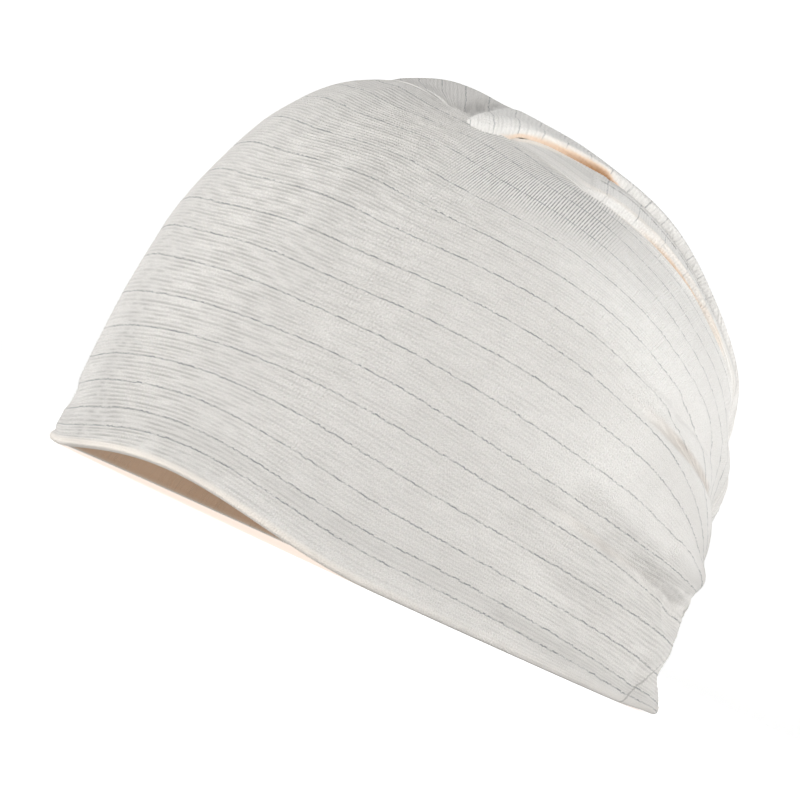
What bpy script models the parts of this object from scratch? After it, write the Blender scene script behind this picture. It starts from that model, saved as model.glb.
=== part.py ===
# Soft two-layer beanie: a ribbed outer cloth with a turned-in hem, tucked crown and gathered nape,
# and a plain lining inside it. Metres, +Z up, forehead towards -Y, the rim resting on Z = 0.
import math

import bmesh
import bpy
from mathutils import Vector

# Driving dimensions
RIM_LENGTH = 0.198
RIM_WIDTH = 0.164
CROWN_HEIGHT = 0.1455
CLOTH = 0.0012
LINING_CLOTH = 0.001
LAYER_GAP = 0.001
HEM_TURN = 0.006
HEM_AIR = 0.0014
HEM_CORNER = 0.0009
SEAM_GAP = 0.001
HEM_ROLL = 2 * CLOTH + HEM_AIR
ARCH_HEIGHT = 0.007
TUCK_DEPTH = 0.006
TUCK_WIDTH = 0.003
TUCK_LIP = 0.22
LIP_PLACE = 1.7
FOLD_DEPTH = 0.003
FOLD_WIDTH = 0.009

# How finely the cloth is divided
COLUMNS_A_SIDE = 32
RING_ROWS = 5
FAN_ROWS = 10
EDGE_STEPS = (2.3, 1.0)
EDGE_ROOM = 0.12
PLAIN_CELLS = 4
LINING_ROWS = 11
LINING_LOW_CLIMBS = (0.06, 0.1)

# Level sections of the crown. Rise is a share of CROWN_HEIGHT, shift (towards the forehead) and
# reach are shares of half the rim's length, and spread is a share of half its width.
SECTIONS = (
    # climb, rise, shift, reach, spread
    (0.00, 0.000, 0.000, 1.000, 1.000),
    (0.04, 0.055, 0.000, 0.984, 0.988),
    (0.16, 0.220, 0.000, 0.976, 0.985),
    (0.34, 0.455, 0.006, 0.946, 0.965),
    (0.42, 0.560, 0.012, 0.914, 0.940),
    (0.52, 0.690, 0.022, 0.838, 0.865),
    (0.62, 0.802, 0.058, 0.722, 0.740),
    (0.76, 0.917, 0.092, 0.530, 0.525),
    (0.90, 0.983, 0.118, 0.255, 0.240),
    (1.00, 1.000, 0.140, 0.000, 0.000),
)
NAPE_PINCH = 0.12
PINCH_CLIMB = 0.5
SEAM_CLIMB = 0.08

# How much deeper and wider the lining lies than the hollows of the cloth over it
ROOM_SHARE = 1.2
ROOM_WIDTH = 2.2
HOLLOW_FLAT = 0.05
HOLLOW_SLOPE = 0.16

# The crown's band runs from the forehead end to the nape end of these two places, each given on
# the flat pattern, where the rim is the unit circle and the crown's top its middle.
BAND_FRONT = Vector((0.06, -0.17))
BAND_NAPE = Vector((-0.18, 0.74))
NAPE_CLIMB = 0.185

# The band from forehead to nape. Left and right are how far it reaches from its middle line, as
# shares of the pattern's radius, the depths are shares of TUCK_DEPTH, and place is where the tuck
# lies between the band's left edge (-1) and its right (1).
BAND = (
    # along, left, right, left_depth, right_depth, place, tuck_depth
    (0.00, 0.018, 0.018, 0.00, 0.00, -0.82, 0.00),
    (0.09, 0.150, 0.110, 0.05, 0.05, -0.82, 0.00),
    (0.16, 0.190, 0.138, 0.10, 0.10, -0.80, 0.45),
    (0.25, 0.222, 0.146, 0.15, 0.15, -0.52, 0.90),
    (0.33, 0.232, 0.136, 0.35, 0.30, -0.38, 1.00),
    (0.43, 0.205, 0.108, 0.90, 0.75, -0.32, 0.35),
    (0.55, 0.165, 0.082, 0.95, 0.75, -0.32, 0.00),
    (0.63, 0.138, 0.070, 0.75, 0.60, -0.32, 0.00),
    (0.72, 0.090, 0.060, 0.50, 0.45, -0.32, 0.00),
    (0.85, 0.055, 0.050, 0.22, 0.22, -0.32, 0.00),
    (1.00, 0.018, 0.018, 0.00, 0.00, -0.32, 0.00),
)

# Folds, each from one place to another (azimuth in degrees from the forehead
# towards the left ear, climb). Width and depth are shares of FOLD_WIDTH and FOLD_DEPTH, and a
# negative depth is a ridge.
FOLDS = (
    # azimuth, climb, azimuth, climb, width, depth
    (188, 0.450, 204, 0.365, 1.50, 1.00),
    (160, 0.430, 180, 0.360, 1.00, 1.00),
    (180, 0.360, 198, 0.275, 1.00, 1.00),
    (140, 0.255, 164, 0.200, 0.90, 0.90),
    (164, 0.200, 182, 0.175, 0.90, 0.90),
    (168, 0.235, 192, 0.210, 0.65, -0.75),
    (176, 0.140, 206, 0.140, 0.55, 0.60),
    (174, 0.090, 204, 0.095, 0.60, -0.50),
    (172, 0.055, 200, 0.055, 0.50, 0.45),
    (178, 0.000, 202, 0.000, 1.50, -1.10),
    (128, 0.150, 150, 0.095, 0.90, 0.45),
    (134, 0.055, 156, 0.020, 0.60, -0.40),
    (18, 0.075, 46, 0.060, 0.70, 0.40),
    (214, 0.300, 236, 0.220, 1.10, 0.60),
    (228, 0.140, 250, 0.080, 0.90, 0.45),
    (300, 0.060, 322, 0.090, 0.80, 0.40),
)
ARCH_AZIMUTH = 70
ARCH_SPAN = 42
ARCH_CLIMB = 0.3


def table_at(rows, share):
    # A smooth curve through the rows of a table whose first column is the share.
    share = min(max(share, rows[0][0]), rows[-1][0])
    low = 0
    while low < len(rows) - 2 and share >= rows[low + 1][0]:
        low += 1
    first, second = rows[low], rows[low + 1]
    before, after = rows[max(low - 1, 0)], rows[min(low + 2, len(rows) - 1)]
    step = second[0] - first[0]
    k = (share - first[0]) / step
    values = []
    for column in range(1, len(first)):
        out = (second[column] - before[column]) / (second[0] - before[0]) * step
        into = (after[column] - first[column]) / (after[0] - first[0]) * step
        values.append(
            (2 * k**3 - 3 * k**2 + 1) * first[column]
            + (k**3 - 2 * k**2 + k) * out
            + (3 * k**2 - 2 * k**3) * second[column]
            + (k**3 - k**2) * into
        )
    return values


def bell(share):
    # 1 in the middle, falling smoothly to 0 at a share of 1.
    return math.cos(math.pi / 2 * min(abs(share), 1)) ** 2


def pattern(azimuth, climb):
    # A place on the flat pattern.
    angle = math.radians(azimuth)
    return Vector((math.sin(angle), -math.cos(angle))) * (1 - climb)


def crown_point(place):
    # The smooth crown, with the rim's arch over the left temple.
    radius = place.length
    climb = 1 - radius
    direction = place / radius if radius > 1e-9 else Vector((0, 0))
    rise, shift, reach, spread = table_at(SECTIONS, climb)
    pinch = 1 - NAPE_PINCH * max(direction.y, 0) ** 2 * bell(climb / PINCH_CLIMB)
    azimuth = math.degrees(math.atan2(direction.x, -direction.y))
    arch = ARCH_HEIGHT * bell((azimuth - ARCH_AZIMUTH) / ARCH_SPAN) * bell(climb / ARCH_CLIMB)
    return Vector(
        (
            spread * pinch * RIM_WIDTH / 2 * direction.x,
            (reach * direction.y - shift) * RIM_LENGTH / 2,
            rise * CROWN_HEIGHT + arch,
        )
    )


def outward(place):
    # Unit normal of the smooth crown. At the rim the step stays on the cloth.
    step = 0.004
    inner = place * min(1, (1 - step) / max(place.length, 1e-9))
    across = crown_point(inner + Vector((step, 0))) - crown_point(inner - Vector((step, 0)))
    along = crown_point(inner + Vector((0, step))) - crown_point(inner - Vector((0, step)))
    return across.cross(along).normalized()


def fold_depth(place, widen=1.0, ridges=True):
    # How far the folds press the cloth in at a place.
    point = crown_point(place)
    total = 0
    for azimuth, climb, azimuth_end, climb_end, width, depth in FOLDS:
        if depth < 0 and not ridges:
            continue
        start = crown_point(pattern(azimuth, climb))
        run = crown_point(pattern(azimuth_end, climb_end)) - start
        along = (point - start).dot(run) / run.length_squared
        away = (point - start - run * min(max(along, 0), 1)).length
        total += depth * FOLD_DEPTH * bell(away / (width * FOLD_WIDTH * widen))
    return total


def band_place(along, across):
    # A place in the crown's band: across runs from -1, the edge on the left, to 1.
    run = BAND_NAPE - BAND_FRONT
    left, right = table_at(BAND, along)[:2]
    aside = left - (across + 1) / 2 * (left + right)
    return BAND_FRONT + run * along + Vector((run.y, -run.x)).normalized() * aside


def band_station(column):
    # How far along the band a column of the side cloth meets its edge.
    return column / COLUMNS_A_SIDE


def tuck_depth(distance, depth):
    # A tuck's hollow and the low lip on each side of it, at a distance from its line.
    away = distance / TUCK_WIDTH
    lip = TUCK_LIP * math.exp(-((abs(away) - LIP_PLACE) ** 2))
    return depth * TUCK_DEPTH * (math.exp(-away * away) - lip)


def climb_at(height):
    # The climb of a low height above the rim.
    return height / (CROWN_HEIGHT * SECTIONS[1][1]) * SECTIONS[1][0]


def hem_points(azimuth):
    # The hem's section: down the turned-in leg, across the flat foot and up to the outer wall.
    rim = pattern(azimuth, 0)
    level = outward(rim)
    level.z = 0
    level.normalize()
    foot = crown_point(rim) - level * fold_depth(rim)
    top = pattern(azimuth, climb_at(HEM_TURN))
    leg = crown_point(top) - level * (fold_depth(top) + HEM_ROLL)
    up = Vector((0, 0, HEM_CORNER))
    low = foot - level * HEM_ROLL
    return [leg, low + up, low + level * HEM_CORNER, foot - level * HEM_CORNER, foot + up]


def rung_places(tuck_place, step):
    # Where the band is divided across: closely at its edges and its tuck, evenly in between.
    step = min(step, EDGE_ROOM)
    tuck_place = max(tuck_place, 3 * step - 1)
    middle = (tuck_place - step - (1 - step)) / PLAIN_CELLS
    plain = [1 - step + middle * (PLAIN_CELLS - cell) for cell in range(1, PLAIN_CELLS)]
    return [-1, step - 1, tuck_place - step, tuck_place, tuck_place + step] + plain + [1 - step, 1]


def build_outer():
    mesh = bmesh.new()
    columns = 2 * COLUMNS_A_SIDE
    edge = [band_place(band_station(min(c, columns - c)), -1 if c <= COLUMNS_A_SIDE else 1)
            for c in range(columns)]
    nape_azimuth = math.degrees(math.atan2(BAND_NAPE.x, -BAND_NAPE.y)) % 360
    front_azimuth = math.degrees(math.atan2(BAND_FRONT.x, -BAND_FRONT.y))

    # Side cloth, one column at a time, from the turned-in hem up to the band's edge.
    side = []
    for column in range(columns):
        if column <= COLUMNS_A_SIDE:
            share = column / COLUMNS_A_SIDE
            azimuth = front_azimuth + (nape_azimuth - front_azimuth) * share
        else:
            share = (column - COLUMNS_A_SIDE) / COLUMNS_A_SIDE
            azimuth = nape_azimuth + (front_azimuth + 360 - nape_azimuth) * share
        points = hem_points(azimuth)
        ring = pattern(azimuth, NAPE_CLIMB)
        places = [pattern(azimuth, NAPE_CLIMB * row / RING_ROWS) for row in range(1, RING_ROWS + 1)]
        along = band_station(min(column, columns - column))
        depth = table_at(BAND, along)[2 if column <= COLUMNS_A_SIDE else 3]
        top = crown_point(edge[column])
        step = min(TUCK_WIDTH / (top - crown_point(ring)).length, EDGE_ROOM)
        plain = 1 - EDGE_STEPS[0] * step
        shares = [plain * row / FAN_ROWS for row in range(1, FAN_ROWS + 1)]
        shares += [1 - EDGE_STEPS[1] * step, 1]
        places += [ring.lerp(edge[column], share) for share in shares]
        for place in places:
            point = crown_point(place)
            press = fold_depth(place) + tuck_depth((point - top).length, depth)
            points.append(point - outward(place) * press)
        side.append([mesh.verts.new(point) for point in points])
    for column in range(columns):
        here, beside = side[column], side[(column + 1) % columns]
        for row in range(len(here) - 1):
            mesh.faces.new((here[row], beside[row], beside[row + 1], here[row + 1]))

    # The band, rung by rung between the two edges.
    rungs = [[side[0][-1]]]
    for station in range(1, COLUMNS_A_SIDE):
        along = band_station(station)
        left_depth, right_depth, tuck_place, depth = table_at(BAND, along)[2:]
        left, right = crown_point(edge[station]), crown_point(edge[columns - station])
        tuck = crown_point(band_place(along, tuck_place))
        rung = [side[station][-1]]
        for across in rung_places(tuck_place, TUCK_WIDTH / (right - left).length * 2)[1:-1]:
            place = band_place(along, across)
            point = crown_point(place)
            press = fold_depth(place) + tuck_depth((point - left).length, left_depth)
            press += tuck_depth((point - right).length, right_depth)
            press += tuck_depth((point - tuck).length, depth)
            rung.append(mesh.verts.new(point - outward(place) * press))
        rung.append(side[columns - station][-1])
        rungs.append(rung)
    rungs.append([side[COLUMNS_A_SIDE][-1]])
    for rung, after in zip(rungs, rungs[1:]):
        for cell in range(max(len(rung), len(after)) - 1):
            corners = [rung[min(cell, len(rung) - 1)], after[min(cell, len(after) - 1)],
                       after[min(cell + 1, len(after) - 1)], rung[min(cell + 1, len(rung) - 1)]]
            mesh.faces.new(list(dict.fromkeys(corners)))
    return mesh


def build_lining():
    # A plain inner crown that keeps clear of the outer cloth, its hem and its tucks.
    mesh = bmesh.new()
    seam = climb_at(HEM_TURN + SEAM_GAP)
    columns = 2 * COLUMNS_A_SIDE
    climbs = [seam, *LINING_LOW_CLIMBS, NAPE_CLIMB]
    climbs += [NAPE_CLIMB + (1 - NAPE_CLIMB) * row / LINING_ROWS for row in range(1, LINING_ROWS)]
    rows = []
    for climb in climbs:
        places = [pattern(360 * column / columns, climb) for column in range(columns)]
        rows.append([mesh.verts.new(lining_point(place)) for place in places])
    for low, high in zip(rows, rows[1:]):
        for column in range(columns):
            beside = (column + 1) % columns
            mesh.faces.new((low[column], low[beside], high[beside], high[column]))
    top = mesh.verts.new(lining_point(Vector((0, 0))))
    for column in range(columns):
        mesh.faces.new((rows[-1][column], rows[-1][(column + 1) % columns], top))
    return mesh


def lining_point(place):
    # Near the seam the lining stands in line with the hem's turned-in leg.
    behind = CLOTH + LAYER_GAP
    seam = climb_at(HEM_TURN + SEAM_GAP)
    nearness = bell((1 - place.length - seam) / SEAM_CLIMB)
    inset = behind + max(HEM_ROLL - CLOTH - behind, 0) * nearness
    inset += ROOM_SHARE * fold_depth(place, ROOM_WIDTH, False) + band_hollow(place)
    normal = outward(place)
    normal.z *= 1 - nearness
    return crown_point(place) - normal.normalized() * inset


def band_hollow(place):
    # Room for the tucks: the lining lies lower under the whole band.
    run = BAND_NAPE - BAND_FRONT
    offset = place - BAND_FRONT
    along = offset.dot(run) / run.length_squared
    left, right, left_depth, right_depth, _, depth = table_at(BAND, along)
    away = offset - run * min(max(along, 0), 1)
    reach = left if away.dot(Vector((run.y, -run.x))) > 0 else right
    room = max(left_depth, right_depth, depth, 0) * ROOM_SHARE * TUCK_DEPTH
    return room * bell(max(away.length - reach - HOLLOW_FLAT, 0) / HOLLOW_SLOPE)


def add_cloth(name, mesh, thickness, color, roughness, collection):
    bmesh.ops.recalc_face_normals(mesh, faces=mesh.faces[:])
    data = bpy.data.meshes.new(name)
    mesh.to_mesh(data)
    mesh.free()
    data.shade_smooth()
    cloth = bpy.data.objects.new(name, data)
    collection.objects.link(cloth)
    material = bpy.data.materials.new(name)
    material.use_nodes = True
    shader = material.node_tree.nodes["Principled BSDF"]
    shader.inputs["Base Color"].default_value = (*color, 1)
    shader.inputs["Roughness"].default_value = roughness
    shader.inputs["Metallic"].default_value = 0
    data.materials.append(material)
    wall = cloth.modifiers.new("cloth", "SOLIDIFY")
    wall.thickness = thickness
    wall.offset = -1
    wall.use_even_offset = False
    return cloth


def main():
    for item in list(bpy.data.objects):
        bpy.data.objects.remove(item)
    collection = bpy.data.collections.new("beanie")
    bpy.context.scene.collection.children.link(collection)
    outer, lining = build_outer(), build_lining()
    lows = [min(v.co[axis] for v in outer.verts) for axis in range(2)]
    highs = [max(v.co[axis] for v in outer.verts) for axis in range(2)]
    middle = Vector(((lows[0] + highs[0]) / 2, (lows[1] + highs[1]) / 2, 0))
    for mesh in (outer, lining):
        bmesh.ops.translate(mesh, verts=mesh.verts[:], vec=-middle)
    add_cloth("outer_shell", outer, CLOTH, (0.80, 0.79, 0.75), 0.9, collection)
    add_cloth("lining", lining, LINING_CLOTH, (0.62, 0.47, 0.35), 0.9, collection)


main()
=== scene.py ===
import math
from functools import partial

import bpy
import numpy as np
from mathutils import Matrix, Vector


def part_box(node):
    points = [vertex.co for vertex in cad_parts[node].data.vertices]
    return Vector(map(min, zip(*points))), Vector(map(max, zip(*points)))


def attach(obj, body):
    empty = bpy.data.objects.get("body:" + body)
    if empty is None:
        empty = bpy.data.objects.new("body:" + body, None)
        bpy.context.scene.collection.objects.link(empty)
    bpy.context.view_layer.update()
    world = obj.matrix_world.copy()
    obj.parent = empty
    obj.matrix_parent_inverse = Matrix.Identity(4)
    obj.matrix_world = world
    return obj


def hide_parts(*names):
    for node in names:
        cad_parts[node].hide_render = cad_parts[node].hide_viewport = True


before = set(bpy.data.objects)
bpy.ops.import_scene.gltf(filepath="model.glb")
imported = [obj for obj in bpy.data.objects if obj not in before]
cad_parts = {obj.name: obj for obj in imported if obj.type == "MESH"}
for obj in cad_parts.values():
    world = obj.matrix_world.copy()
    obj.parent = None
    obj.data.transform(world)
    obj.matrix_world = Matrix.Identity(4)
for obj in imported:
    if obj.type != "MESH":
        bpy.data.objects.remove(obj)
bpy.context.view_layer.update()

# A soft two-layer beanie: ribbed cotton knit with a fine grey stripe outside, plain jersey inside.
# Everything is in metres, forehead towards -Y, the rim resting on Z = 0.

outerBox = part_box("outer_shell")
mm = 0.001
print("frame loaded:", ", ".join(sorted(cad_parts)))


# Helpers

def smooth(low, high, value):
    # 0 below low, 1 above high, with a soft step between them
    k = np.clip((value - low) / (high - low), 0, 1)
    return k * k * (3 - 2 * k)


def bell(share):
    # 1 in the middle, falling softly to 0 at a share of 1
    return np.cos(np.pi / 2 * np.minimum(np.abs(share), 1)) ** 2


def hump(value, width):
    # 1 at 0, falling off on both sides
    return np.exp(-(value / width) ** 2)


def lengths(vectors):
    return np.linalg.norm(vectors, axis=-1)


def unit(vectors, least=1e-9):
    return vectors / np.maximum(lengths(vectors), least)[..., None]


def tableAt(rows, share):
    # a smooth curve through a table's rows, read at many shares
    rows = np.array(rows, float)
    keys, values = rows[:, 0], rows[:, 1:]
    share = np.clip(share, keys[0], keys[-1])
    low = np.clip(np.searchsorted(keys, share, side="right") - 1, 0, len(keys) - 2)
    before, after = np.maximum(low - 1, 0), np.minimum(low + 2, len(keys) - 1)
    step = keys[low + 1] - keys[low]
    k = ((share - keys[low]) / step)[..., None]
    out = (values[low + 1] - values[before]) * (step / (keys[low + 1] - keys[before]))[..., None]
    into = (values[after] - values[low]) * (step / (keys[after] - keys[low]))[..., None]
    return ((2 * k**3 - 3 * k**2 + 1) * values[low] + (k**3 - 2 * k**2 + k) * out
            + (3 * k**2 - 2 * k**3) * values[low + 1] + (k**3 - k**2) * into)


def column(rows, share):
    # the same for a table of one value a row
    return tableAt(rows, np.asarray(share, float))[..., 0]


def unevenness(points, rows):
    # soft lumps from rows of height, size and seed, the same on every run
    cells, shift = 16, 40
    summed = 0
    for height, size, seed in rows:
        lattice = np.random.default_rng(seed).uniform(-1, 1, (cells, cells, cells))
        spot = points / size + shift
        cell = np.floor(spot).astype(int)
        k = spot - cell
        k = k * k * (3 - 2 * k)
        total = 0
        for corner in range(8):
            pick = np.array([corner & 1, corner >> 1 & 1, corner >> 2 & 1])
            share = np.where(pick, k, 1 - k).prod(-1)
            total = total + share * lattice[tuple(np.moveaxis((cell + pick) % cells, -1, 0))]
        summed = summed + height * total
    return summed


def gridNormals(points):
    # the cross of the two directions of a grid
    return unit(np.cross(np.gradient(points, axis=1), np.gradient(points, axis=0)), 1e-12)


# The crown's form, close to the solid model's

crownForm = dict(
    rimLength=0.198, rimWidth=0.164, height=0.1455,
    cloth=0.0012, liningCloth=0.001, layerGap=0.001,
    hemTurn=0.006, hemRoll=0.0038, seamGap=0.001,
    archHeight=0.007, archAzimuth=70, archSpan=42, archClimb=0.3,
    napePinch=0.12, pinchClimb=0.5, napeClimb=0.185,
    tuckDepth=0.006, foldDepth=0.003, foldWidth=0.009,
    bandFront=(0.06, -0.17), bandNape=(-0.18, 0.74),
    sections=(
        # climb, rise, shift, reach, spread
        (0, 0, 0, 1, 1), (0.04, 0.055, 0, 0.984, 0.988),
        (0.16, 0.22, 0, 0.976, 0.985), (0.34, 0.455, 0.006, 0.946, 0.965),
        (0.42, 0.56, 0.012, 0.914, 0.94), (0.52, 0.69, 0.022, 0.838, 0.865),
        (0.62, 0.802, 0.058, 0.722, 0.74), (0.76, 0.917, 0.092, 0.53, 0.525),
        (0.9, 0.983, 0.118, 0.255, 0.24), (1, 1, 0.14, 0, 0),
    ),
    band=(
        # along, reach to the left, reach to the right, room for the tucks
        (0, 0, 0, 0), (0.09, 0.165, 0.11, 0.05), (0.16, 0.212, 0.138, 0.45),
        (0.25, 0.222, 0.146, 0.9), (0.33, 0.232, 0.136, 1), (0.43, 0.205, 0.108, 0.9),
        (0.55, 0.165, 0.082, 0.95), (0.63, 0.138, 0.07, 0.75), (0.72, 0.09, 0.06, 0.5),
        (0.85, 0.055, 0.05, 0.22), (1, 0, 0, 0),
    ),
    folds=(
        # azimuth, climb, azimuth, climb, width, depth
        (188, 0.45, 204, 0.365, 1.5, 1), (158, 0.42, 176, 0.373, 0.9, 0.85),
        (182, 0.35, 198, 0.275, 1, 0.95), (140, 0.239, 161, 0.182, 0.9, 0.9),
        (166, 0.17, 182, 0.154, 0.9, 0.9), (168, 0.235, 192, 0.21, 0.65, -0.75),
        (176, 0.14, 206, 0.14, 0.55, 0.6), (174, 0.09, 204, 0.095, 0.6, -0.5),
        (172, 0.055, 200, 0.055, 0.5, 0.45), (178, 0, 202, 0, 1.5, -1.1),
        (128, 0.15, 150, 0.095, 0.9, 0.45), (134, 0.055, 156, 0.02, 0.6, -0.4),
        (18, 0.075, 46, 0.06, 0.7, 0.4), (214, 0.3, 236, 0.22, 1.1, 0.6),
        (228, 0.14, 250, 0.08, 0.9, 0.45), (300, 0.06, 322, 0.09, 0.8, 0.4),
    ),
)


def pattern(azimuth, climb):
    # a place on the flat pattern, where the rim is the unit circle
    angle = np.radians(azimuth)
    return np.stack([np.sin(angle), -np.cos(angle)], -1) * (1 - np.asarray(climb))[..., None]


def crownPoint(place):
    form = crownForm
    radius = lengths(place)
    climb = 1 - radius
    direction = place / np.maximum(radius, 1e-9)[..., None]
    rise, shift, reach, spread = np.moveaxis(tableAt(form["sections"], climb), -1, 0)
    back = np.maximum(direction[..., 1], 0) ** 2
    pinch = 1 - form["napePinch"] * back * bell(climb / form["pinchClimb"])
    azimuth = np.degrees(np.arctan2(direction[..., 0], -direction[..., 1]))
    arch = form["archHeight"] * bell((azimuth - form["archAzimuth"]) / form["archSpan"])
    arch = arch * bell(climb / form["archClimb"])
    return np.stack([spread * pinch * form["rimWidth"] / 2 * direction[..., 0],
                     (reach * direction[..., 1] - shift) * form["rimLength"] / 2,
                     rise * form["height"] + arch], -1)


def outward(place):
    step = 0.004
    inner = place * np.minimum(1, (1 - step) / np.maximum(lengths(place), 1e-9))[..., None]
    across = crownPoint(inner + (step, 0)) - crownPoint(inner - (step, 0))
    along = crownPoint(inner + (0, step)) - crownPoint(inner - (0, step))
    return unit(np.cross(across, along))


def fromRun(point, start, end):
    # the distance from a straight run, and how far along it the nearest spot is
    run = end - start
    share = np.clip(((point - start) @ run) / (run @ run), 0, 1)
    return lengths(point - start - share[..., None] * run), share


def pressedBy(folds, place, widen=1.0, ridges=True):
    # how far a list of folds presses the cloth in
    form = crownForm
    point = crownPoint(place)
    total = np.zeros(point.shape[:-1])
    for azimuth, climb, azimuthEnd, climbEnd, width, depth in folds:
        if depth < 0 and not ridges:
            continue
        start, end = crownPoint(pattern(azimuth, climb)), crownPoint(pattern(azimuthEnd, climbEnd))
        away, _ = fromRun(point, start, end)
        total += depth * form["foldDepth"] * bell(away / (width * form["foldWidth"] * widen))
    return total


def nearestOn(corners, point):
    # the distance from the line through the corners, and its depth there
    azimuth, climb, depth = np.array(corners).T
    spots = crownPoint(pattern(azimuth, climb))
    nearest, here = np.full(point.shape[:-1], np.inf), np.zeros(point.shape[:-1])
    for number in range(len(spots) - 1):
        away, share = fromRun(point, spots[number], spots[number + 1])
        deep = depth[number] + (depth[number + 1] - depth[number]) * share
        here = np.where(away < nearest, deep, here)
        nearest = np.minimum(away, nearest)
    return nearest, here


def creasedBy(creases, place):
    # how far the small creases press the cloth in
    point = crownPoint(place)
    total = np.zeros(point.shape[:-1])
    for width, corners in creases:
        away, depth = nearestOn(corners, point)
        total += depth * mm * bell(away / (width * mm))
    return total


def bandFrame():
    # the band's front end, its run to the nape and the direction to its left
    front, nape = np.array(crownForm["bandFront"]), np.array(crownForm["bandNape"])
    run = nape - front
    return front, run, np.array([run[1], -run[0]]) / np.linalg.norm(run)


def bandPlace(along, across):
    # a place in the band: across is -1 at its left edge and 1 at its right
    front, run, aside = bandFrame()
    left, right, _ = np.moveaxis(tableAt(crownForm["band"], along), -1, 0)
    reach = left - (across + 1) / 2 * (left + right)
    return front + run * np.asarray(along)[..., None] + aside * reach[..., None]


def climbAt(height):
    # the climb of a height near the rim
    climb, rise = crownForm["sections"][1][:2]
    return height / (crownForm["height"] * rise) * climb


# The side cloth: stripes, ribs, folds and the turned-in hem

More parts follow.
